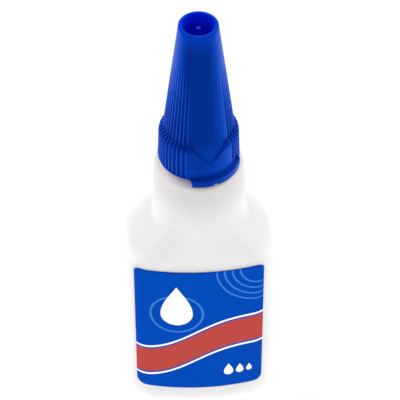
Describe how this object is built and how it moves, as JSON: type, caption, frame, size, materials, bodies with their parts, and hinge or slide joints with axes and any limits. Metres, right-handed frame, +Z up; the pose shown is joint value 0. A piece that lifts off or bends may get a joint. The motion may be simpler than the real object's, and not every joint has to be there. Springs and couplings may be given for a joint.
{
  "type": "squeeze bottle of instant adhesive",
  "caption": "Small flat-sided squeeze bottle for instant adhesive with a dropper nozzle and a tall cone-shaped screw cap that seals it with a pin.",
  "frame": {"origin": "middle of the base, on the surface that the bottle stands on", "axes": "+Z up along the axis of the neck and the cap, -Y to the front with the printed label, +X to the right seen from the front"},
  "size_m": [0.03, 0.02, 0.0995],
  "materials": {
    "bottle_plastic": "milky, softly glossy blow-moulded plastic",
    "nozzle_plastic": "natural moulded plastic",
    "cap_plastic": "glossy blue injection-moulded plastic",
    "pin_plastic": "glossy blue injection-moulded plastic",
    "front_label_film": "printed film with a satin varnish",
    "back_label_film": "plain pale film with a satin varnish",
    "liquid_adhesive": "clear liquid"
  },
  "bodies": {
    "bottle": {"bottle_shell": "bottle_plastic", "nozzle": "nozzle_plastic", "front_label": "front_label_film", "back_label": "back_label_film", "adhesive": "liquid_adhesive"},
    "pin": {"sealing_pin": "pin_plastic"},
    "cap": {"cap_shell": "cap_plastic"}
  },
  "joints": [
    {"name": "cap_lift", "type": "slide", "parent": "bottle", "child": "pin", "axis": [0, 0, 1], "range_m": [0, 0.00275]},
    {"name": "cap_turn", "type": "hinge", "parent": "pin", "child": "cap", "pos_m": [0, 0, 0.0662], "axis": [0, 0, 1], "range_deg": [0, 450]}
  ],
  "couplings": [
    {"joint": "cap_lift", "follows": "cap_turn", "m_per_rad": 0.00035014}
  ]
}
